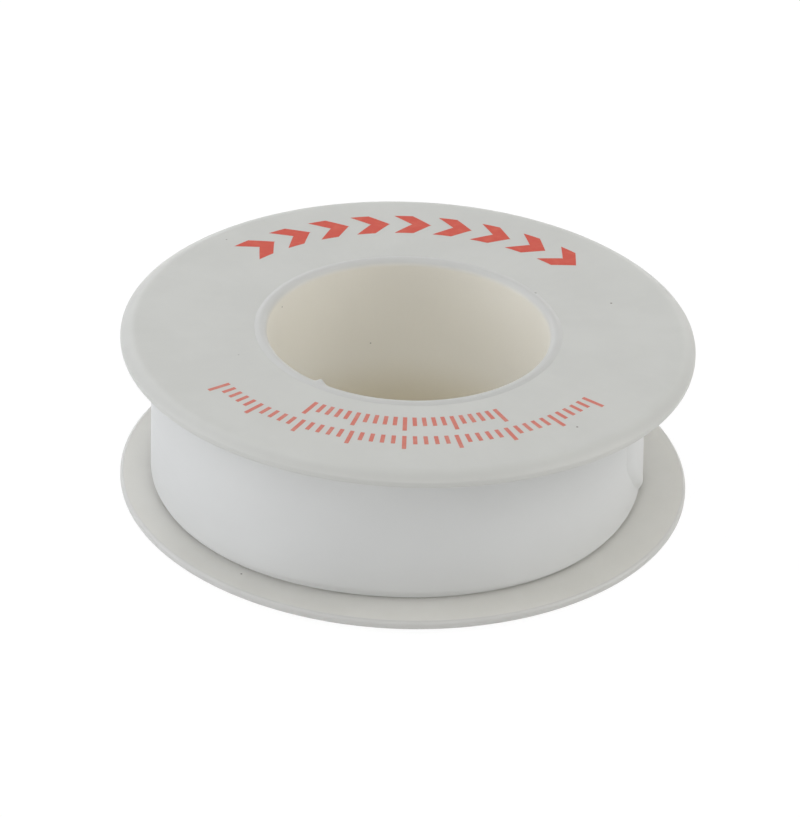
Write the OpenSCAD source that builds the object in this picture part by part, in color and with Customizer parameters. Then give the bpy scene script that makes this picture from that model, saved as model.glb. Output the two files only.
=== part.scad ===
// Roll of thread seal tape: a thin white film wound on a two-part moulded spool.
// Millimetres, +Z up along the spool's axis, origin at the centre of the face it stands on.

/* [Flanges] */
// Diameter across each flange
flange_d = 50; // [46:0.5:60]
// Thickness of each flange
flange_t = 1.2; // [1:0.1:2]
// How far in from the rim the outer face starts to roll off
shoulder_w = 1.5; // [0.8:0.1:2]
// How far the outer face has dropped at the rim
shoulder_h = 0.6; // [0.3:0.05:0.8]
// Rounding of the rim where it meets the inner face
rim_r = 0.2; // [0.1:0.05:0.3]

/* [Hub] */
// Diameter of the hole through the hub
bore_d = 24.6; // [18:0.2:26]
// Wall of the sleeve that the tape is wound on
hub_wall = 1.05; // [0.8:0.05:2]
// Width of the step on the sleeve that the upper flange sits on
seat_w = 0.2; // [0.15:0.05:0.4]
// Radial clearance between the sleeve's neck and the upper flange
neck_clearance = 0.05; // [0.02:0.01:0.1]
// Height of the rolled-over end of the sleeve above the upper flange
bead_h = 0.25; // [0.1:0.05:0.4]
// Rounding of the hole's lower mouth
mouth_r = 0.4; // [0.2:0.05:0.7]
// Width of the burr that the rolling left on the sleeve's end
burr_w = 0.9; // [0.5:0.1:2]
// Height of the burr above the upper flange
burr_h = 0.5; // [0.4:0.05:0.8]
// Rounding of the burr's back
burr_r = 0.4; // [0.25:0.05:0.6]
// Distance of the burr from the wall of the hole
burr_inset = 0.05; // [0.03:0.01:0.2]
// Direction of the burr about the axis, in degrees
burr_azimuth = 233; // [0:1:359]

/* [Tape] */
// Width of the tape
tape_w = 12; // [10:0.1:19]
// Thickness of the tape
tape_t = 0.075; // [0.06:0.005:0.1]
// Length of tape on the spool
tape_length = 12000; // [5000:500:15000]
// Share of the winding's section that is film, the rest being air
packing_ratio = 0.995; // [0.9:0.005:1]
// Clearance between the tape's edges and each flange
side_clearance = 0.5; // [0.3:0.05:1]
// Radial clearance between the hub and the innermost turn
hub_clearance = 0.05; // [0.02:0.01:0.1]
// Air under the outermost turn, which has slackened
loose_gap = 0.05; // [0.03:0.01:0.15]
// How far the winding lies off the spool's axis
pack_offset = 0.75; // [0:0.05:1]
// Distance between the start of the outermost turn and its end
turn_gap = 1.5; // [1:0.1:4]

/* [Tail] */
// Length of the tape's free end
tail_length = 14; // [8:0.5:20]
// Angle by which the free end stands off the roll
tail_lift = 2; // [0:0.1:8]
// Length torn off both edges of the free end's lower corner
torn_leg = 5.4; // [1:0.1:7]
// How far the torn edge bows out between its ends
torn_bow = 0.5; // [0.1:0.1:1]
// Distance between the outermost turn and the root of the free end
tail_gap = 0.1; // [0.05:0.01:0.3]
// Direction of the root of the free end about the axis, in degrees
tail_azimuth = 15; // [0:1:359]

/* [Hidden] */

$fn = 180;
spool_colour = [0.78, 0.78, 0.76];
tape_colour = [0.86, 0.86, 0.87];
full_turn = 360;
// How far each cutting shape runs past the solid it cuts
cut_over = 1;

flange_r = flange_d / 2;
flat_r = flange_r - shoulder_w;
shoulder_r = (shoulder_w * shoulder_w + shoulder_h * shoulder_h) / (2 * shoulder_h);

tape_z = flange_t + side_clearance;
seat_z = tape_z + tape_w + side_clearance;
top_z = seat_z + flange_t;

bore_r = bore_d / 2;
hub_r = bore_r + hub_wall;
neck_r = hub_r - seat_w;
top_hole_r = neck_r + neck_clearance;
bead_mid_r = bore_r + hub_wall / 2;
bead_r = (hub_wall * hub_wall / 4 + bead_h * bead_h) / (2 * bead_h);

wound_r = hub_r + hub_clearance;
pack_r = sqrt(wound_r * wound_r + tape_length * tape_t / (PI * packing_ratio));
pitch = tape_t + loose_gap;
core_r = pack_r - 2 * pitch;
turn_r = core_r + loose_gap;

torn_r = torn_leg * torn_leg / (4 * torn_bow) + torn_bow / 2;
torn_mid = torn_leg / 2 + (torn_r - torn_bow) / sqrt(2);

turn_steps = 120;
turn_angle = full_turn - arc_angle(turn_gap);
tail_angle = arc_angle(tail_length);

// Angle in degrees of an arc of the given length on the outside of the winding
function arc_angle(length) = length / pack_r * 180 / PI;

// Inner radius of the outermost turn at an angle ahead of its end. It climbs one pitch a turn.
function turn_inner_r(ahead) = turn_r + pitch * (1 - ahead / full_turn);

// Point at radius r and at an angle ahead of the tail's root. The tape runs clockwise to its free end.
function wound_point(r, ahead) = r * [cos(tail_azimuth + ahead), sin(tail_azimuth + ahead)];

turn_angles = [for (i = [0 : turn_steps]) turn_angle * (1 - i / turn_steps)];
turn_inner = [for (ahead = turn_angles) wound_point(turn_inner_r(ahead), ahead)];
turn_outer = [for (ahead = turn_angles) wound_point(turn_inner_r(ahead) + tape_t, ahead)];

// Least distance between points of the outermost turn that are over half a turn apart along it
turn_self_gap = min([
    for (i = [0 : turn_steps], j = [0 : turn_steps])
        if (j - i > turn_steps / 2) norm(turn_outer[i] - turn_inner[j])
]);
echo(str("Least gap of the outermost turn to itself: ", turn_self_gap, " mm"));

// What rounding takes off a square corner at the origin whose material lies towards +x and +y
module corner_cut(r) {
    difference() {
        translate([-cut_over, -cut_over]) square(r + cut_over);
        translate([r, r]) circle(r = r);
    }
}

// What tearing took off the free end's lower corner, which is at the origin with the film towards +x and +y
module torn_corner() {
    difference() {
        translate([-cut_over, -cut_over]) square(torn_leg + cut_over);
        translate([torn_mid, torn_mid]) circle(r = torn_r);
    }
}

// Half section of a flange with its inner face on y = 0. The outer face is flat as far as flat_r,
// then rolls off to the rim on an arc that is tangent to it.
module flange_section(hole_r) {
    difference() {
        union() {
            translate([hole_r, 0]) square([flat_r - hole_r, flange_t]);
            intersection() {
                translate([flat_r - shoulder_w, 0]) square([2 * shoulder_w, flange_t]);
                translate([flat_r, flange_t - shoulder_r]) circle(r = shoulder_r);
            }
        }
        translate([flange_r, 0]) mirror([1, 0]) corner_cut(rim_r);
    }
}

// Half section of the sleeve's end, rolled over the upper flange into a rounded bead
module bead_section() {
    intersection() {
        translate([bore_r, top_z]) square([hub_wall, bead_h]);
        translate([bead_mid_r, top_z + bead_h - bead_r]) circle(r = bead_r);
    }
}

// Burr on the bead: a short ridge with a rounded back, rooted in the sleeve's wall
module burr() {
    sweep = burr_w / bore_r * 180 / PI;
    rotate([0, 0, burr_azimuth - sweep / 2])
        rotate_extrude(angle = sweep)
            translate([bore_r + burr_inset, top_z - burr_r]) {
                square([burr_r, burr_h]);
                translate([0, burr_h])
                    intersection() {
                        square(burr_r);
                        circle(r = burr_r);
                    }
            }
}

// Lower flange and the sleeve that the tape is wound on, moulded as one
module spool_body() {
    color(spool_colour)
        union() {
            rotate_extrude()
                difference() {
                    union() {
                        translate([0, flange_t]) mirror([0, 1]) flange_section(bore_r);
                        translate([bore_r, 0]) square([hub_wall, seat_z]);
                        translate([bore_r, 0]) square([neck_r - bore_r, top_z]);
                        bead_section();
                    }
                    translate([bore_r, 0]) corner_cut(mouth_r);
                }
            burr();
        }
}

// Upper flange, a disc that sits on the sleeve's step and is held down by the bead
module top_flange() {
    color(spool_colour)
        rotate_extrude()
            translate([0, seat_z]) flange_section(top_hole_r);
}

// All the turns of tape under the outermost one
module tape_core() {
    color(tape_colour)
        translate([0, 0, tape_z])
            difference() {
                translate([-pack_offset, 0, 0]) cylinder(r = core_r, h = tape_w);
                translate([0, 0, -cut_over]) cylinder(r = wound_r, h = tape_w + 2 * cut_over);
            }
}

// Outermost turn of tape, from the winding's surface round to the root of the free end
module tape_outer_turn() {
    color(tape_colour)
        translate([-pack_offset, 0, tape_z])
            linear_extrude(tape_w)
                polygon(concat(turn_inner, [for (i = [turn_steps : -1 : 0]) turn_outer[i]]));
}

// Free end of the tape, turned out about its root, with the lower corner torn away
module tape_tail() {
    root = wound_point(pack_r, 0);
    color(tape_colour)
        translate([root[0] - pack_offset, root[1], tape_z])
            rotate([0, 0, tail_lift])
                translate([-root[0], -root[1], 0])
                    rotate([0, 0, tail_azimuth - tail_angle])
                        difference() {
                            rotate_extrude(angle = tail_angle - arc_angle(tail_gap))
                                translate([pack_r - tape_t, 0]) square([tape_t, tape_w]);
                            translate([pack_r - tape_t - cut_over, 0, 0])
                                rotate([90, 0, 90])
                                    linear_extrude(tape_t + 2 * cut_over) torn_corner();
                        }
}

spool_body();
top_flange();
tape_core();
tape_outer_turn();
tape_tail();
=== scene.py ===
import bpy
import numpy as np
from mathutils import Matrix, Vector


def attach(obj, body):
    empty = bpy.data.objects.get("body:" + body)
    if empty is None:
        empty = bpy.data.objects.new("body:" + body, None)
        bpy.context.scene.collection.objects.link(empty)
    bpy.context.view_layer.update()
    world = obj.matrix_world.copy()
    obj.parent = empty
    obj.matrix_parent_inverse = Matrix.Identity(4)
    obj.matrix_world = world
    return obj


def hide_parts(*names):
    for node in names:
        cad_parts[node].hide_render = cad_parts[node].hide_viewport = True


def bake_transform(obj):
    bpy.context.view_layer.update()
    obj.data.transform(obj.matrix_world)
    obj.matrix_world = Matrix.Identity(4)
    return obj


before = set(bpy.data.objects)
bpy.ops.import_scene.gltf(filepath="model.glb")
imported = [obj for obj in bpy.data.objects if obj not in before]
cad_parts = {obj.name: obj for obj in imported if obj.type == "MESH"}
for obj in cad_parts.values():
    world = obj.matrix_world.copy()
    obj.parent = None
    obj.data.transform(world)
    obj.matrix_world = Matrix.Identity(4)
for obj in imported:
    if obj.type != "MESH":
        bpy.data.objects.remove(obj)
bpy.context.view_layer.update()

# Camera. A long lens looks down on the roll from about 30 degrees above the floor. It is turned a
# little about its own line of sight, so that the right-hand side of the roll hangs lower.
MM = 0.001
IMAGE_LONG_SIDE_PX = 817
FOCAL_PX = 4249.1
SENSOR_MM = 36.0
NEAREST_SEEN_M = 0.01
CAMERA_DISTANCE_MM = 373.0
CAMERA_ELEVATION = np.radians(29.928)
CAMERA_ROLL = np.radians(2.233)
CAMERA_AIM = Vector((0.0, 0.0, 7.7 * MM))
AIM_OFF_CENTRE_PX = (5.63, 3.18)

lens = bpy.data.cameras.new("camera")
lens.sensor_width = SENSOR_MM
lens.lens = FOCAL_PX / IMAGE_LONG_SIDE_PX * SENSOR_MM
lens.shift_x = -AIM_OFF_CENTRE_PX[0] / IMAGE_LONG_SIDE_PX
lens.shift_y = -AIM_OFF_CENTRE_PX[1] / IMAGE_LONG_SIDE_PX
lens.clip_start = NEAREST_SEEN_M
camera = bpy.data.objects.new("camera", lens)
bpy.context.scene.collection.objects.link(camera)
towards_camera = Vector((0.0, -np.cos(CAMERA_ELEVATION), np.sin(CAMERA_ELEVATION)))
camera.matrix_world = (
    Matrix.Translation(CAMERA_AIM + towards_camera * CAMERA_DISTANCE_MM * MM)
    @ (-towards_camera).to_track_quat("-Z", "Y").to_matrix().to_4x4()
    @ Matrix.Rotation(CAMERA_ROLL, 4, "Z")
)
bpy.context.scene.camera = camera

# Spool body. The lower flange and the sleeve that the tape is wound on, one moulding of milky
# natural plastic. The sleeve's end stands up through the upper flange and is rolled over it,
# hot, into an uneven bead that holds the flange down and has one burr on its inner edge.
FLANGE_R = 25.0
FLANGE_T = 1.2
SHOULDER_DROP = 0.6
SHOULDER_CORNER_R = 24.37
SHOULDER_ROUND = 1.8
RIM_ROUND = 0.3
EDGE_ROUND = 0.25
BORE_R = 12.3
MOUTH_ROUND = 0.4
HUB_R = 13.35
HUB_FOOT_ROUND = 0.2
SEAT_Z = 14.2
SEAT_EDGE_ROUND = 0.04
SEAT_CORNER_ROUND = 0.03
NECK_R = 13.15
NECK_TOP_ROUND = 0.01
TOP_Z = 15.4
BEAD_FOOT_R = 13.5
BEAD_FOOT_SINK = 0.03
BEAD_FOOT_ROUND = 0.005
BEAD_CREST_R = 13.02
BEAD_CREST_ROUND = 0.7
BEAD_TOP_Z = 15.53
BEAD_INNER_DROP = 0.05
BEAD_INNER_ROUND = 0.6
BEAD_UNEVEN_R = 0.06
BEAD_UNEVEN_WAVES_R = range(2, 23)
BEAD_UNEVEN_SEED_R = 5
BEAD_UNEVEN_FROM_R = BORE_R + 0.5
BEAD_UNEVEN_GROWS_R = 0.5
BEAD_UNEVEN_Z = 0.02
BEAD_UNEVEN_WAVES_Z = range(2, 17)
BEAD_UNEVEN_SEED_Z = 11
BURR_AZIMUTH = np.radians(234.5)
BURR_R = 12.45
BURR_RISE = 0.46
BURR_HALF_WIDTH = 0.40
BURR_HALF_DEPTH = 0.22
BURR_FROM_Z = TOP_Z - 0.5
BURR_GROWS_Z = 0.4
LATHE_SIDES = 360
# The body and the upper flange are one plastic, but the body's colour is painted lighter than the
# disc's: painted light for the lower flange, which lies in the shade of the upper flange and the
# winding
BODY_COLOUR = (213, 211.5, 205)
BODY_CLOUD_COLOUR = (216, 214.5, 208)
# Painted shade on the rim; greyer on the bead; painted light, paler and creamier, in the hole, with
# painted shade deep down
BODY_TONES_WITH_PAINTED_LIGHT_AND_SHADE = (
    # Painted shade on the rounded rim of the lower flange, where the low panels light it brightly
    ((199, 198, 194), {"radius": (24.64, 24.82)}),
    # On the bead and the top of the sleeve, in the same light as the upper flange, the colour goes
    # back to near the disc's
    ((201, 201, 197), {"height": (14.0, 14.3)}),
    # Painted light: paler and creamier in the hole, for light that comes through the plastic, going
    # over to painted shade, darker and warmer, deep down
    (
        (233, 229.5, 219), {"radius": (12.55, 12.35), "height": (15.42, 14.85)},
        (217, 208.5, 186), (6.5, 0.0),
    ),
)
SPECK_COLOUR = (118, 112, 102)
MILKY_SHARE = 0.12
MILKY_DEPTH = 0.6
BAND_MILKY_SHARE = 0.85
BAND_MILKY_DEPTH = 3.3
BAND_STARTS_R = (18.0, 20.0)
BAND_ENDS_R = (25.0, 23.0)
BAND_AT_RIM = 0.3


def rounded_outline(corners, steps=9, lead=0.12):
    """Closed outline with rounded corners. Each row of corners is r, z and a rounding. The corner
    becomes an arc, tangent to both its edges, from the tangent point on the edge before it to the
    one on the edge after it. Another point leads in to and out of each arc, so that shading stays
    flat on the straight edges."""
    corners = np.asarray(corners, float)
    point, rounding = corners[:, :2], corners[:, 2:]
    back = np.roll(point, 1, 0) - point
    ahead = np.roll(point, -1, 0) - point
    back /= np.linalg.norm(back, axis=1, keepdims=True)
    ahead /= np.linalg.norm(ahead, axis=1, keepdims=True)
    half = np.arccos(np.clip((back * ahead).sum(1, keepdims=True), -1, 1)) / 2
    middle = back + ahead
    middle /= np.linalg.norm(middle, axis=1, keepdims=True)
    centre = point + middle * rounding / np.sin(half)
    first = point + back * rounding / np.tan(half)
    last = point + ahead * rounding / np.tan(half)
    turn = (np.pi - 2 * half)[:, None]
    share = np.linspace(0, 1, steps)[None, :, None]
    arc = (
        centre[:, None]
        + np.sin((1 - share) * turn) / np.sin(turn) * (first - centre)[:, None]
        + np.sin(share * turn) / np.sin(turn) * (last - centre)[:, None]
    )
    gap = np.linalg.norm(np.roll(first, -1, 0) - last, axis=1, keepdims=True)
    inset = np.minimum(lead, gap / 3)
    lead_in = first + back * np.roll(inset, 1, 0)
    lead_out = last + ahead * inset
    return np.concatenate([lead_in[:, None], arc, lead_out[:, None]], 1).reshape(-1, 2)


def finish_mesh(name, points, quads, material):
    """Object of that name from points in millimetres and faces of four corners, shaded smooth."""
    mesh = bpy.data.meshes.new(name)
    mesh.from_pydata((np.asarray(points) * MM).tolist(), [], np.asarray(quads).tolist())
    mesh.polygons.foreach_set("use_smooth", np.ones(len(mesh.polygons), bool))
    mesh.materials.append(material)
    mesh.update()
    piece = bpy.data.objects.new(name, mesh)
    bpy.context.scene.collection.objects.link(piece)
    return piece


def grid_quads(a, b, c, d):
    """Faces of four corners from four arrays of point numbers of one shape, taken in that order."""
    return np.stack([a, b, c, d], -1).reshape(-1, 4)


def lathe(name, r, z, material):
    """Closed turned shape. r and z hold one row for each point of the outline and one column for
    each direction about the axis, so the outline may change as it goes round."""
    rows, sides = r.shape
    angle = np.arange(sides) / sides * 2 * np.pi
    points = np.stack([r * np.cos(angle), r * np.sin(angle), z], -1).reshape(-1, 3)
    number = np.arange(rows * sides).reshape(rows, sides)
    next_row = np.roll(number, -1, 0)
    quads = grid_quads(number, np.roll(number, -1, 1), np.roll(next_row, -1, 1), next_row)
    return finish_mesh(name, points, quads, material)


def uneven(angle, waves, seed, gain=1.6):
    """Sum of sine waves round the circle, with seeded phases and with strengths that fall off with
    the square root of the number of waves in the turn. It is divided by the sum of the strengths,
    and the gain then brings it between about -1 and 1."""
    draw = np.random.default_rng(seed)
    waves = np.asarray(waves)[:, None]
    phase = draw.uniform(0, 2 * np.pi, waves.shape)
    strength = draw.uniform(0.5, 1.0, waves.shape) / np.sqrt(waves)
    return (strength * np.sin(waves * angle[None] + phase)).sum(0) / strength.sum() * gain


def turned_from(angle, middle):
    """How far an angle lies from the middle one, between minus and plus half a turn."""
    return (angle - middle + np.pi) % (2 * np.pi) - np.pi


def new_material(name):
    """Material of that name with its nodes, links and shader."""
    material = bpy.data.materials.new(name)
    material.use_nodes = True
    nodes, links = material.node_tree.nodes, material.node_tree.links
    return material, nodes, links, nodes["Principled BSDF"]


def node(nodes, kind, **settings):
    """New node of that kind. A setting that is one of its inputs goes there, else to the node."""
    made = nodes.new(kind)
    for key, value in settings.items():
        label = key.replace("_", " ").title()
        if label in made.inputs:
            made.inputs[label].default_value = value
        else:
            setattr(made, key, value)
    return made


def reckon(nodes, links, operation, *values):
    """Output of a math node of that operation, fed by the sockets given."""
    made = node(nodes, "ShaderNodeMath", operation=operation)
    for value, socket in zip(values, made.inputs):
        links.new(value, socket)
    return made.outputs[0]


def noise(nodes, links, place, **settings):
    """Value of a noise texture at that place."""
    made = node(nodes, "ShaderNodeTexNoise", **settings)
    links.new(place, made.inputs["Vector"])
    return made.outputs["Fac"]


def stretched(nodes, links, place, scale):
    """The place with each of its three measures multiplied by its own scale."""
    made = node(nodes, "ShaderNodeMapping", scale=scale)
    links.new(place, made.inputs["Vector"])
    return made.outputs[0]


def skin(nodes, links, shader, *layers):
    """Bumps the shader's surface by layers, one on the other, of height socket, strength and depth
    in millimetres."""
    below = None
    for height, strength, depth in layers:
        layer = node(nodes, "ShaderNodeBump", strength=strength, distance=depth * MM)
        links.new(height, layer.inputs["Height"])
        if below is not None:
            links.new(below, layer.inputs["Normal"])
        below = layer.outputs[0]
    links.new(below, shader.inputs["Normal"])


def linear(levels):
    """Linear colour, with alpha 1, of a colour in display levels from 0 to 255."""
    level = np.array(levels) / 255
    level = np.where(level <= 0.04045, level / 12.92, ((level + 0.055) / 1.055) ** 2.4)
    return (*level.tolist(), 1.0)


def colour_mix(nodes, links, share, first, second):
    """Mix by the share socket of two colours, each of them a socket or a colour in levels."""
    mix = node(nodes, "ShaderNodeMix", data_type="RGBA")
    links.new(share, mix.inputs[0])
    for value, socket in ((first, mix.inputs[6]), (second, mix.inputs[7])):
        if isinstance(value, tuple):
            socket.default_value = linear(value)
        else:
            links.new(value, socket)
    return mix.outputs[2]


def ramp(nodes, links, value, span, reach=(0.0, 1.0)):
    """Value carried smoothly from its span to the reach, and held beyond either end."""
    made = node(nodes, "ShaderNodeMapRange", interpolation_type="SMOOTHSTEP")
    made.inputs["From Min"].default_value, made.inputs["From Max"].default_value = span
    made.inputs["To Min"].default_value, made.inputs["To Max"].default_value = reach
    links.new(value, made.inputs["Value"])
    return made.outputs["Result"]


def over(nodes, links, measure, span, reach=(0.0, 1.0)):
    """Ramp of a radius or a height over a span in millimetres."""
    return ramp(nodes, links, measure, [end * MM for end in span], reach)


def about_axis(nodes, links):
    """Place on the object, then its distance from the axis, direction about it and height."""
    place = nodes.new("ShaderNodeTexCoord").outputs["Object"]
    split = nodes.new("ShaderNodeSeparateXYZ")
    links.new(place, split.inputs[0])
    x, y, height = split.outputs
    squares = [reckon(nodes, links, "MULTIPLY", side, side) for side in (x, y)]
    radius = reckon(nodes, links, "SQRT", reckon(nodes, links, "ADD", *squares))
    return place, radius, reckon(nodes, links, "ARCTAN2", y, x), height


def natural_plastic(name, colour, cloud_colour, tones):
    """Milky moulded plastic: soft clouds of tone, faint flow lines that run out from the hub, a
    fine moulded grain, a satin gloss that wanders a little, and a few dark specks. Light enters it
    and comes out again a little way off. tones are other colours that come in one after another,
    each by the product of ramps over its spans of radius and height, in millimetres. The last two
    values of a row, where it has them, are the colour that its own goes over to, and the span of
    height in which it does."""
    material, nodes, links, shader = new_material(name)
    place, radius, azimuth, height = about_axis(nodes, links)
    cloud = noise(nodes, links, place, scale=180.0, detail=3.0, roughness=0.55)
    tone = colour_mix(nodes, links, ramp(nodes, links, cloud, (0.35, 0.68)), colour, cloud_colour)
    measures = {"radius": radius, "height": height}
    for tone_colour, spans, *deep in tones:
        if deep:
            deep_colour, deep_z = deep
            deep_share = over(nodes, links, height, deep_z)
            tone_colour = colour_mix(nodes, links, deep_share, tone_colour, deep_colour)
        shares = [over(nodes, links, measures[kind], span) for kind, span in spans.items()]
        share = shares[0] if len(shares) == 1 else reckon(nodes, links, "MULTIPLY", *shares)
        tone = colour_mix(nodes, links, share, tone, tone_colour)

    cell = node(nodes, "ShaderNodeTexVoronoi", scale=900.0)
    links.new(place, cell.inputs["Vector"])
    spot = ramp(nodes, links, cell.outputs["Distance"], (0.12, 0.06))
    pick = nodes.new("ShaderNodeSeparateColor")
    links.new(cell.outputs["Color"], pick.inputs[0])
    rare = ramp(nodes, links, pick.outputs[0], (0.960, 0.965))
    speck = reckon(nodes, links, "MULTIPLY", spot, rare)
    tone = colour_mix(nodes, links, speck, tone, SPECK_COLOUR)
    links.new(tone, shader.inputs["Base Color"])

    polar = nodes.new("ShaderNodeCombineXYZ")
    for measure, socket in zip((azimuth, radius, height), polar.inputs):
        links.new(measure, socket)
    outwards = stretched(nodes, links, polar.outputs[0], (9.0, 60.0, 60.0))
    flow = noise(nodes, links, outwards, scale=2.2, detail=4.0, roughness=0.6)
    links.new(ramp(nodes, links, flow, (0.3, 0.7), (0.40, 0.50)), shader.inputs["Roughness"])
    grain = noise(nodes, links, place, scale=2600.0, detail=2.0, roughness=0.5)
    skin(nodes, links, shader, (grain, 0.10, 0.02), (flow, 0.12, 0.05))
    shader.inputs["IOR"].default_value = 1.49
    shader.inputs["Subsurface Weight"].default_value = MILKY_SHARE
    shader.inputs["Subsurface Radius"].default_value = (1.0, 1.0, 1.0)
    shader.inputs["Subsurface Scale"].default_value = MILKY_DEPTH * MM
    return material


def milky_band(material):
    """Lets light further into the flange outside the winding, so that the winding's shadow has a
    soft edge there. The share and the depth of that light go by the product of two ramps of the
    radius, one up from the sleeve and one down to the rim."""
    nodes, links = material.node_tree.nodes, material.node_tree.links
    radius = about_axis(nodes, links)[1]
    starts = over(nodes, links, radius, BAND_STARTS_R)
    ends = over(nodes, links, radius, BAND_ENDS_R, (BAND_AT_RIM, 1.0))
    band = reckon(nodes, links, "MULTIPLY", starts, ends)
    share = ramp(nodes, links, band, (0.0, 1.0), (MILKY_SHARE, BAND_MILKY_SHARE))
    depth = ramp(nodes, links, band, (0.0, 1.0), (MILKY_DEPTH * MM, BAND_MILKY_DEPTH * MM))
    shader = nodes["Principled BSDF"]
    links.new(share, shader.inputs["Subsurface Weight"])
    links.new(depth, shader.inputs["Subsurface Scale"])


body_outline = rounded_outline([
    (BORE_R, 0.0, MOUTH_ROUND),
    (SHOULDER_CORNER_R, 0.0, SHOULDER_ROUND),
    (FLANGE_R, SHOULDER_DROP, EDGE_ROUND),
    (FLANGE_R, FLANGE_T, RIM_ROUND),
    (HUB_R, FLANGE_T, HUB_FOOT_ROUND),
    (HUB_R, SEAT_Z, SEAT_EDGE_ROUND),
    (NECK_R, SEAT_Z, SEAT_CORNER_ROUND),
    (NECK_R, TOP_Z - BEAD_FOOT_SINK, NECK_TOP_ROUND),
    (BEAD_FOOT_R, TOP_Z - BEAD_FOOT_SINK, BEAD_FOOT_ROUND),
    (BEAD_CREST_R, BEAD_TOP_Z, BEAD_CREST_ROUND),
    (BORE_R, BEAD_TOP_Z - BEAD_INNER_DROP, BEAD_INNER_ROUND),
])
around = np.arange(LATHE_SIDES) / LATHE_SIDES * 2 * np.pi
body_r = np.repeat(body_outline[:, :1], LATHE_SIDES, 1)
body_z = np.repeat(body_outline[:, 1:], LATHE_SIDES, 1)
on_top = np.clip((body_z - TOP_Z) / (BEAD_TOP_Z - TOP_Z), 0, 1)
outer_edge = np.clip((body_r - BEAD_UNEVEN_FROM_R) / BEAD_UNEVEN_GROWS_R, 0, 1)
outer_edge = outer_edge * (body_z > TOP_Z - 1.5 * BEAD_FOOT_SINK)
along_burr = turned_from(around, BURR_AZIMUTH) * BURR_R / BURR_HALF_WIDTH
across_burr = (body_r - BURR_R) / BURR_HALF_DEPTH
burr = np.exp(-(along_burr**2))[None] * np.exp(-(across_burr**2))
burr = burr * np.clip((body_z - BURR_FROM_Z) / BURR_GROWS_Z, 0, 1)
waves_z = uneven(around, BEAD_UNEVEN_WAVES_Z, BEAD_UNEVEN_SEED_Z)
waves_r = uneven(around, BEAD_UNEVEN_WAVES_R, BEAD_UNEVEN_SEED_R)
body_z = body_z + on_top * waves_z[None] * BEAD_UNEVEN_Z + burr * BURR_RISE
body_r = body_r + outer_edge * waves_r[None] * BEAD_UNEVEN_R
body_plastic = natural_plastic("natural_plastic_body", BODY_COLOUR, BODY_CLOUD_COLOUR, BODY_TONES_WITH_PAINTED_LIGHT_AND_SHADE)
milky_band(body_plastic)
spool_body = lathe("spool_body_moulding", body_r, body_z, body_plastic)
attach(spool_body, "spool")
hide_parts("spool_body")

# Upper flange. A flat disc of the same plastic with a rounded shoulder, which sits on the step
# of the sleeve under the rolled bead. Its rim sags a little at the front right.
FLANGE_HOLE_R = 13.2
FLANGE_HOLE_ROUND = 0.05
LONGEST_EDGE = 0.8
SAG = 0.28
SAG_AT = np.radians(-32.0)
SAG_SPREAD = np.radians(32.0)
SAG_FROM_R = 15.0
# Darker than the body's colour though the same plastic; the body's is the one painted lighter, for
# the shade on the lower flange
DISC_COLOUR = (203.5, 203.8, 198.4)
DISC_CLOUD_COLOUR = (206.5, 206.8, 201.4)
# Painted shade on the upper flange's shoulder and rim
DISC_PAINTED_SHADE = (((198.5, 198.5, 193.5), {"radius": (24.0, 24.7)}),)


def sag(r, angle):
    """How far the flange hangs down at a place: with the square of the distance out from where the
    sag starts, and like a bell about its direction."""
    out = np.clip((r - SAG_FROM_R) / (FLANGE_R - SAG_FROM_R), 0, 1)
    return SAG * out**2 * np.exp(-((turned_from(angle, SAG_AT) / SAG_SPREAD) ** 2))


def divided(outline, longest):
    """The same closed outline with points added evenly along every edge longer than that."""
    ahead = np.roll(outline, -1, 0) - outline
    count = np.ceil(np.linalg.norm(ahead, axis=1) / longest).astype(int)
    return np.concatenate([
        point + way * np.arange(n)[:, None] / n for point, way, n in zip(outline, ahead, count)
    ])


disc_outline = divided(rounded_outline([
    (FLANGE_HOLE_R, SEAT_Z, FLANGE_HOLE_ROUND),
    (FLANGE_R, SEAT_Z, RIM_ROUND),
    (FLANGE_R, TOP_Z - SHOULDER_DROP, EDGE_ROUND),
    (SHOULDER_CORNER_R, TOP_Z, SHOULDER_ROUND),
    (FLANGE_HOLE_R, TOP_Z, FLANGE_HOLE_ROUND),
]), LONGEST_EDGE)
disc_plastic = natural_plastic("natural_plastic_disc", DISC_COLOUR, DISC_CLOUD_COLOUR, DISC_PAINTED_SHADE)
disc_r = np.repeat(disc_outline[:, :1], LATHE_SIDES, 1)
disc_z = np.repeat(disc_outline[:, 1:], LATHE_SIDES, 1)
top_flange = lathe("top_flange_disc", disc_r, disc_z - sag(disc_r, around), disc_plastic)
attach(top_flange, "spool")
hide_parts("top_flange")

# Film under the outermost turn. One strip of soft white film, 12 mm wide, wound clockwise on the
# sleeve. The winding lies a little off the axis and out of round, so its turns are pressed
# together on the right and slack on the left. The inner turns have settled on the lower flange.
TAPE_WIDTH = 12.0
TAPE_T = 0.075
TAPE_LENGTH = 12000.0
TAPE_Z = 1.7
PACK_R = 21.6213
WOUND_R = 13.4
PACK_OFFSET = 0.75
LOOSE_PITCH = 0.125
LOOSE_TURNS = 2.0
ROOM_FILLED = 0.97
TAIL_AZIMUTH = np.radians(15.0)
TAIL_LENGTH = 14.0
TURN_SIDES = 128
SETTLED = 0.47
SETTLED_TURNS = 2.4
# Height, waves in a turn and phase
EDGE_WANDERS = ((0.015, 0.31, 0.4), (0.01, 1.7, 2.0))
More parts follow.
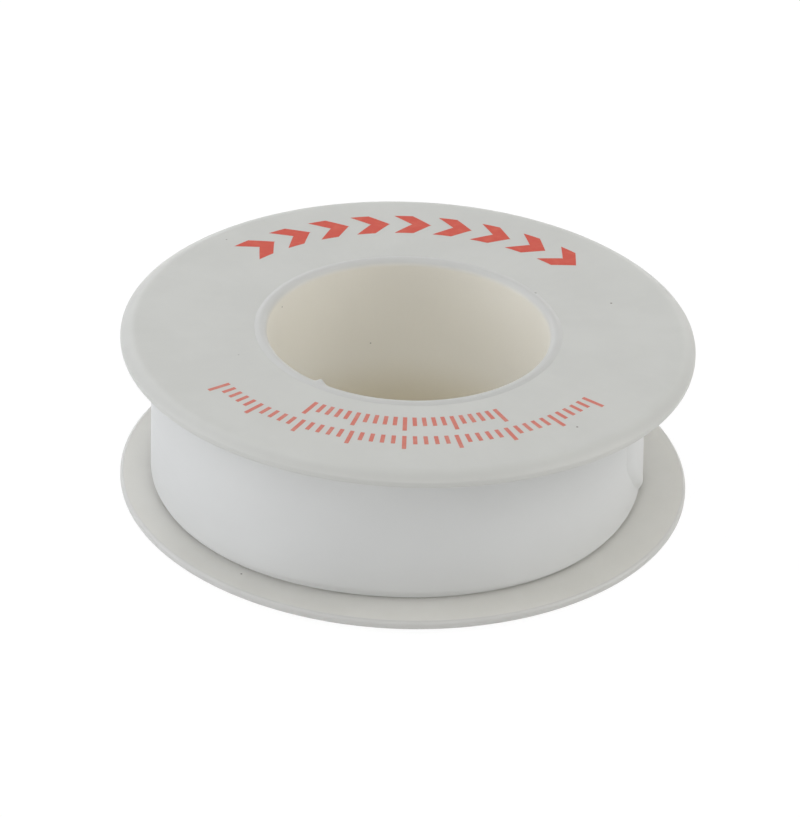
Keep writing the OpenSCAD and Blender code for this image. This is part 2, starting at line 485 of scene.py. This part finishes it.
# Height or depth, then direction and half width in degrees
EDGE_RISES = ((0.14, -98.0, 30.0), (-0.14, -50.0, 24.0), (-0.12, -140.0, 26.0))
BULGES = ((-0.20, -98.0, 22.0), (0.22, -50.0, 20.0))
FLARE = (0.36, 0.0, 36.0)
FILM_COLOUR = (212.5, 213, 211)
FILM_WAVE_COLOUR = (215.5, 216, 214)
FILM_SHARP_EDGE = np.radians(50)
loose_r = PACK_R - LOOSE_TURNS * LOOSE_PITCH
loose_length = LOOSE_TURNS * np.pi * (PACK_R + loose_r) + TAIL_LENGTH
tight_turns = (TAPE_LENGTH - loose_length) / (np.pi * (loose_r + WOUND_R + TAPE_T))
tight_pitch = (loose_r - WOUND_R - TAPE_T) / tight_turns
turns = LOOSE_TURNS + tight_turns


def smooth(share):
    """Smooth step from 0 to 1 as share goes from 0 to 1."""
    share = np.clip(share, 0, 1)
    return share * share * (3 - 2 * share)


def stretch_of(angle, azimuth, spread):
    """Share, 1 in the middle and falling off on either side like a bell, of a stretch of the circle
    given by the direction of its middle and its half width, both in degrees."""
    return np.exp(-((turned_from(angle, np.radians(azimuth)) / np.radians(spread)) ** 2))


def wound_film(back, across, lift=0.0, thin=1.0):
    """Outer and inner face of the film. back is the number of turns back from the root of the free
    end, negative on the free end, and across runs from 0 on the lower edge to 1 on the upper. The
    radius falls by the loose pitch a turn for two turns, then by the tight pitch, while the centre
    of the turns goes from the offset one to the axis. The film is as thick as there is room for.
    The turns wander sideways, and all but the outermost have settled towards the lower flange.
    The outermost one rises and dips over stretches given as height, direction and half width, and
    the whole winding bulges and flares in the same way, most at its outside and not at the sleeve.
    lift moves both faces outwards, and thin is the share of its thickness that the film keeps."""
    back, across = np.broadcast_arrays(back, across)
    loose = np.minimum(back, LOOSE_TURNS)
    tight = np.maximum(back - LOOSE_TURNS, 0)
    angle = TAIL_AZIMUTH + 2 * np.pi * back
    outer_r = PACK_R - LOOSE_PITCH * loose - tight_pitch * tight
    centre_x = -PACK_OFFSET * (1 - tight / tight_turns)
    tight_room = tight_pitch - PACK_OFFSET / tight_turns * np.cos(angle)
    room = np.where(back > LOOSE_TURNS, tight_room, LOOSE_PITCH)
    thickness = np.minimum(TAPE_T, ROOM_FILLED * room) * thin
    outermost = smooth((SETTLED_TURNS - back) / (SETTLED_TURNS - 1))
    sideways = -SETTLED * (1 - outermost)
    for height, waves, phase in EDGE_WANDERS:
        sideways = sideways + height * np.sin(waves * angle + phase)
    for rise, azimuth, spread in EDGE_RISES:
        sideways = sideways + rise * stretch_of(angle, azimuth, spread) * outermost
    z = TAPE_Z + sideways + TAPE_WIDTH * across
    bulge = FLARE[0] * (0.5 - across) * stretch_of(angle, *FLARE[1:])
    for depth, azimuth, spread in BULGES:
        bulge = bulge + depth * stretch_of(angle, azimuth, spread)
    faces = []
    for r in (outer_r + lift, outer_r + lift - thickness):
        r = r + bulge * (r - WOUND_R) / (PACK_R - WOUND_R)
        faces.append(np.stack([centre_x + r * np.cos(angle), r * np.sin(angle), z], -1))
    return faces


def lengths_along(faces):
    """Length along the strip, from its start, of each row of its faces, halfway between them."""
    middle = (faces[0] + faces[1])[:, 0] / 2
    steps = np.linalg.norm(np.diff(middle, axis=0), axis=1)
    return np.concatenate([[0.0], np.cumsum(steps)])


def film_mesh(name, faces, along, across, material):
    """Closed strip of film from its outer and inner faces, both on the same grid along and across
    the strip. The two edges and the two ends close it. The UV map holds the place on the flat
    strip in millimetres, along and across."""
    rows, columns = faces[0].shape[:2]
    number = np.arange(rows * columns).reshape(rows, columns)
    under = number + rows * columns

    def wall(first, second):
        """Faces between two rows of points, from the first row to the second."""
        return grid_quads(first[:-1], first[1:], second[1:], second[:-1])

    quads = np.concatenate([
        grid_quads(number[:-1, :-1], number[:-1, 1:], number[1:, 1:], number[1:, :-1]),
        grid_quads(under[:-1, :-1], under[1:, :-1], under[1:, 1:], under[:-1, 1:]),
        wall(number[:, 0], under[:, 0]),
        wall(under[:, -1], number[:, -1]),
        wall(under[0], number[0]),
        wall(number[-1], under[-1]),
    ])
    piece = finish_mesh(name, np.concatenate([f.reshape(-1, 3) for f in faces]), quads, material)
    piece.data.set_sharp_from_angle(angle=FILM_SHARP_EDGE)
    flat = np.stack(np.broadcast_arrays(along, across * TAPE_WIDTH), -1).reshape(-1, 2)
    flat = np.concatenate([flat, flat])
    layer = piece.data.uv_layers.new(name="flat_strip")
    corner = np.zeros(len(piece.data.loops), np.int32)
    piece.data.loops.foreach_get("vertex_index", corner)
    layer.data.foreach_set("uv", flat[corner].astype(np.float32).ravel())
    return piece


def seal_film(name):
    """Soft white film: hair-fine lines drawn along the strip by the rolls that thinned it, slow
    waves where it was wound, a dull sheen, and a slight change of tone along the strip."""
    material, nodes, links, shader = new_material(name)
    flat = node(nodes, "ShaderNodeUVMap", uv_map="flat_strip").outputs["UV"]
    drawn = stretched(nodes, links, flat, (0.06, 5.0, 1.0))
    lines = noise(nodes, links, drawn, scale=1.0, detail=4.0, roughness=0.6)
    slow = stretched(nodes, links, flat, (0.09, 0.12, 1.0))
    waves = noise(nodes, links, slow, scale=1.0, detail=2.0, roughness=0.45)
    share = ramp(nodes, links, waves, (0.3, 0.7))
    tone = colour_mix(nodes, links, share, FILM_COLOUR, FILM_WAVE_COLOUR)
    links.new(tone, shader.inputs["Base Color"])
    links.new(ramp(nodes, links, lines, (0.3, 0.7), (0.46, 0.58)), shader.inputs["Roughness"])
    skin(nodes, links, shader, (waves, 0.35, 0.25), (lines, 0.12, 0.02))
    shader.inputs["IOR"].default_value = 1.36
    return material


film = seal_film("seal_film")
inner_back = np.linspace(turns, 1.0, int((turns - 1) * TURN_SIDES))[:, None]
inner_across = np.array([0.0, 1.0])[None]
inner_faces = wound_film(inner_back, inner_across)
inner_along = lengths_along(inner_faces)
film_winding = film_mesh("film_winding", inner_faces, inner_along[:, None], inner_across, film)
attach(film_winding, "winding")
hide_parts("tape_core")

# Outermost turn of film. The same strip goes on round once more, slack enough that its surface
# swells and dips a little, as far as the stretch that carries the free end.
OUTER_STEPS = 420
OUTER_ACROSS_STEPS = 25
FREE_END_STARTS = 12.0
SWELL = 0.018
# Strength, waves in the turn, slant across the strip and phase
SWELL_WAVES = ((1.0, 5, 3.0, 0.6), (0.7, 11, -4.0, 1.9), (0.5, 17, 2.0, 4.1))
SWELL_STARTS_BACK = 0.88
SWELL_GROWS_IN = 0.13
free_back = FREE_END_STARTS / (2 * np.pi * PACK_R)

outer_back = np.linspace(1.0, free_back, OUTER_STEPS)[:, None]
outer_across = np.linspace(0, 1, OUTER_ACROSS_STEPS)[None]
swell = sum(
    strength * np.sin(waves * 2 * np.pi * outer_back + slant * outer_across + phase)
    for strength, waves, slant, phase in SWELL_WAVES
) / sum(strength for strength, *_ in SWELL_WAVES)
from_ends = np.minimum(SWELL_STARTS_BACK - outer_back, outer_back - free_back)
swell = SWELL * swell * smooth(from_ends / SWELL_GROWS_IN)
outer_faces = wound_film(outer_back, outer_across, lift=swell)
outer_along = inner_along[-1] + lengths_along(outer_faces)
film_outer_turn = film_mesh(
    "film_outer_turn", outer_faces, outer_along[:, None], outer_across, film
)
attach(film_outer_turn, "winding")
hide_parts("tape_outer_turn")

# Free end of the film. The last stretch of the strip clings to the roll, then stands off it a
# little near its end, where the lower corner was torn away on a slant and the film was drawn
# out to a feather edge.
TORN_LEG = 5.4
TORN_BOW = 0.5
TORN_BACK = 0.08
# Depth, radians of the wave in a millimetre and phase
RAGGED_WAVES = ((0.05, 2.3, 0.4), (0.035, 6.1, 1.0), (0.02, 14.7, 0.0))
END_LIFT = 0.203
END_RISE = 7.0
END_CURL = 1.4
END_CLING = 0.047
END_FEATHER = 0.5
END_THINNEST = 0.1
END_STEPS = 110
END_ACROSS_STEPS = 49


def torn_edge(height):
    """How far short of the full length the film ends at a height above its lower edge: along the
    slant that bows out in the middle, with a ragged tear on it, and nearly straight above that."""
    down = np.clip(1 - height / TORN_LEG, 0, 1)
    slant = TORN_LEG * down - 4 * TORN_BOW * np.sqrt(2) * down * (1 - down)
    ragged = sum(depth * np.sin(waves * height + phase) for depth, waves, phase in RAGGED_WAVES)
    return np.maximum(slant + TORN_BACK + ragged, 0)


end_across = np.linspace(0, 1, END_ACROSS_STEPS)[None]
end_length = FREE_END_STARTS + TAIL_LENGTH - torn_edge(end_across * TAPE_WIDTH)
run = np.linspace(0, 1, END_STEPS)[:, None]
end_along = run * end_length - FREE_END_STARTS
to_edge = (1 - run) * end_length
end_rise = smooth(end_along / END_RISE)
end_thin = END_THINNEST + (1 - END_THINNEST) * smooth(to_edge / END_FEATHER)
end_lift = END_LIFT * end_rise * smooth(to_edge / END_CURL) * (1 - end_across)
end_lift = end_lift - END_CLING * end_rise - TAPE_T * (1 - end_thin)
end_back = -end_along / (2 * np.pi * PACK_R)
end_faces = wound_film(end_back, end_across, lift=end_lift, thin=end_thin)
strip_along = outer_along[-1] + FREE_END_STARTS + end_along
film_free_end = film_mesh("film_free_end", end_faces, strip_along, end_across, film)
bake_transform(film_free_end)
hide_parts("tape_tail")

# Printed marks. Orange-red ink pad-printed on the upper flange: a row of bold arrowheads that
# point the way the tape comes off, and two finer rows of ticks.
INK_T = 0.012
INK_SINK = 0.004
INK_SHARP_EDGE = np.radians(40)
BOLD_INK_COLOUR = (199, 66, 45)
BOLD_INK_THIN_COLOUR = (206, 92, 72)
FINE_INK_COLOUR = (203, 112, 96)
FINE_INK_THIN_COLOUR = (206, 134, 120)
ARROWHEADS = 9
ARROWHEADS_EITHER_WAY = 44
ARROWHEAD_HALF_WIDTH = 0.85
# Inner and outer radius, and lean, of an arrowhead's two arms
ARROWHEAD_ARMS = ((17.9, 19.55, -1.5), (19.55, 21.2, 1.7))
# Ticks either way, degrees from one to the next, radius they start from, long and short length
TICK_ROWS = ((10, 2.9, 15.4, 2.2, 1.4), (20, 2.7, 18.5, 2.1, 1.3))
TICK_HALF_WIDTH = 0.18
LONG_TICK_EVERY = 5


def ink_bars(centres, r_low, r_high, half_width, lean, steps=6):
    """Slanted bars of ink on the flange. Each is a small grid, from r_low to r_high and across its
    width, that leans along the circle by lean times its share of the way out. Arrays give one
    value for each bar. Returns points (bars, along, across, 3) of the ink's upper face."""
    out = np.linspace(0, 1, steps)[None, :, None]
    side = np.linspace(-1, 1, 3)[None, None, :]
    values = np.broadcast_arrays(centres, r_low, r_high, half_width, lean)
    centres, r_low, r_high, half_width, lean = (
        np.asarray(value, float).reshape(-1, 1, 1) for value in values
    )
    r = r_low + (r_high - r_low) * out
    angle = centres + (lean * (out - 0.5) + half_width * side) / r
    angle, r = np.broadcast_arrays(angle, r)
    return np.stack([r * np.cos(angle), r * np.sin(angle), TOP_Z + INK_T - sag(r, angle)], -1)


def ink_mesh(name, bars, material):
    """Closed flat pads of ink from bars on grids of one size, each sunk a hair into the flange."""
    count, rows, columns = bars.shape[:3]
    upper = bars.reshape(-1, 3)
    lower = upper - [0.0, 0.0, INK_T + INK_SINK]
    number = np.arange(count * rows * columns).reshape(count, rows, columns)
    under = number + number.size
    ring = np.concatenate(
        [number[:, :-1, 0], number[:, -1, :-1], number[:, :0:-1, -1], number[:, 0, :0:-1]], 1
    )
    next_on_ring = np.roll(ring, -1, 1)
    quads = np.concatenate([
        grid_quads(number[:, :-1, :-1], number[:, 1:, :-1], number[:, 1:, 1:], number[:, :-1, 1:]),
        grid_quads(under[:, :-1, :-1], under[:, :-1, 1:], under[:, 1:, 1:], under[:, 1:, :-1]),
        grid_quads(ring, ring + number.size, next_on_ring + number.size, next_on_ring),
    ])
    piece = finish_mesh(name, np.concatenate([upper, lower]), quads, material)
    piece.data.set_sharp_from_angle(angle=INK_SHARP_EDGE)
    return piece


def print_ink(name, colour, thin_colour):
    """Matt orange-red ink, a little thinner and paler in places where the pad pressed unevenly."""
    material, nodes, links, shader = new_material(name)
    place = nodes.new("ShaderNodeTexCoord").outputs["Object"]
    patches = noise(nodes, links, place, scale=900.0, detail=4.0, roughness=0.6)
    thin = ramp(nodes, links, patches, (0.40, 0.75))
    tone = colour_mix(nodes, links, thin, colour, thin_colour)
    links.new(tone, shader.inputs["Base Color"])
    links.new(ramp(nodes, links, patches, (0.3, 0.7), (0.5, 0.62)), shader.inputs["Roughness"])
    skin(nodes, links, shader, (patches, 0.1, 0.01))
    return material


bold_ink = print_ink("print_ink_bold", BOLD_INK_COLOUR, BOLD_INK_THIN_COLOUR)
arrows_at = 90 + np.linspace(ARROWHEADS_EITHER_WAY, -ARROWHEADS_EITHER_WAY, ARROWHEADS)
arrowheads = np.concatenate([
    ink_bars(np.radians(arrows_at), r_low, r_high, ARROWHEAD_HALF_WIDTH, lean)
    for r_low, r_high, lean in ARROWHEAD_ARMS
])
printed_arrowheads = ink_mesh("printed_arrowheads", arrowheads, bold_ink)
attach(printed_arrowheads, "spool")

fine_ink = print_ink("print_ink_fine", FINE_INK_COLOUR, FINE_INK_THIN_COLOUR)
tick_rows = []
for either_way, step, tick_r, long, short in TICK_ROWS:
    tick = np.arange(-either_way, either_way + 1)
    tick_end_r = tick_r + np.where(tick % LONG_TICK_EVERY == 0, long, short)
    ticks_at = np.radians(-90 + step * tick)
    tick_rows.append(ink_bars(ticks_at, tick_r, tick_end_r, TICK_HALF_WIDTH, 0.0))
printed_ticks = ink_mesh("printed_ticks", np.concatenate(tick_rows), fine_ink)
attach(printed_ticks, "spool")

# Studio. A pale floor and a backdrop that both look white, and two rings of square soft panels
# that face the roll, a low one and a high one. Most light comes from the left and the right. The
# panels on the left are a little cool.
FLOOR_HALF_M = 2.0
FLOOR_Z = -0.02
FLOOR_GREY = (0.95, 0.95, 0.95, 1)
FLOOR_GLOW = 0.94
FLOOR_SHADOW_GREY = (0.10, 0.10, 0.10, 1)
PANEL_SIZE_M = 0.45
PANEL_DISTANCE_M = 0.7
PANEL_COOL_GREEN = 0.02
PANEL_COOL_BLUE = 0.07
# Watts by direction in degrees, from the right by way of the back
LOW_PANELS_AT = 12
LOW_PANELS = {0: 1.3, 65: 0.6, 115: 0.6, 180: 1.7, 225: 0.35, 270: 0.95}
HIGH_PANELS_AT = 45
HIGH_PANELS = {0: 1.8, 135: 0.9, 180: 0.8, 225: 0.5, 270: 0.7}


def soft_panel(name, azimuth, elevation, watts):
    """Square panel of soft light, in the direction given in degrees, turned to face the roll."""
    panel = bpy.data.lights.new(name, "AREA")
    panel.size = PANEL_SIZE_M
    panel.energy = watts
    along, up = np.radians(azimuth), np.radians(elevation)
    cool = max(-np.cos(along), 0.0)
    panel.color = (1.0, 1.0 + PANEL_COOL_GREEN * cool, 1.0 + PANEL_COOL_BLUE * cool)
    lamp = bpy.data.objects.new(name, panel)
    outwards = Vector((np.cos(along) * np.cos(up), np.sin(along) * np.cos(up), np.sin(up)))
    lamp.location = CAMERA_AIM + outwards * PANEL_DISTANCE_M
    lamp.rotation_euler = (-outwards).to_track_quat("-Z", "Y").to_euler()
    bpy.context.scene.collection.objects.link(lamp)


def seen_directly(nodes, links):
    """1 for rays from the camera and for mirrored and refracted ones, and 0 for the light's own."""
    path = nodes.new("ShaderNodeLightPath")
    seen = path.outputs["Is Camera Ray"]
    for ray in ("Is Glossy Ray", "Is Transmission Ray"):
        seen = reckon(nodes, links, "MAXIMUM", seen, path.outputs[ray])
    return seen


floor_paint, nodes, links, shader = new_material("floor_white")
nodes.remove(shader)
plain = node(nodes, "ShaderNodeBsdfDiffuse", color=FLOOR_GREY)
shadow = node(nodes, "ShaderNodeBsdfDiffuse", color=FLOOR_SHADOW_GREY)
white = node(nodes, "ShaderNodeEmission", strength=FLOOR_GLOW)
shown = nodes.new("ShaderNodeAddShader")
links.new(white.outputs[0], shown.inputs[0])
links.new(shadow.outputs[0], shown.inputs[1])
choice = nodes.new("ShaderNodeMixShader")
links.new(seen_directly(nodes, links), choice.inputs[0])
links.new(plain.outputs[0], choice.inputs[1])
links.new(shown.outputs[0], choice.inputs[2])
links.new(choice.outputs[0], nodes["Material Output"].inputs["Surface"])
floor_corner = np.array([(-1, -1), (1, -1), (1, 1), (-1, 1)]) * FLOOR_HALF_M / MM
floor_corner = np.column_stack([floor_corner, np.full(4, FLOOR_Z)])
floor = finish_mesh("floor", floor_corner, [(0, 1, 2, 3)], floor_paint)

for elevation, ring in ((LOW_PANELS_AT, LOW_PANELS), (HIGH_PANELS_AT, HIGH_PANELS)):
    for azimuth, watts in ring.items():
        soft_panel(f"panel_{azimuth}_{elevation}", azimuth, elevation, watts)

world = bpy.data.worlds.new("studio")
bpy.context.scene.world = world
world.use_nodes = True
nodes, links = world.node_tree.nodes, world.node_tree.links
dark = nodes["Background"]
dark.inputs["Strength"].default_value = 0.0
backdrop = node(nodes, "ShaderNodeBackground", color=(1, 1, 1, 1), strength=1.0)
choice = nodes.new("ShaderNodeMixShader")
links.new(seen_directly(nodes, links), choice.inputs[0])
links.new(dark.outputs[0], choice.inputs[1])
links.new(backdrop.outputs[0], choice.inputs[2])
links.new(choice.outputs[0], nodes["World Output"].inputs["Surface"])

bpy.context.scene.view_settings.view_transform = "Standard"
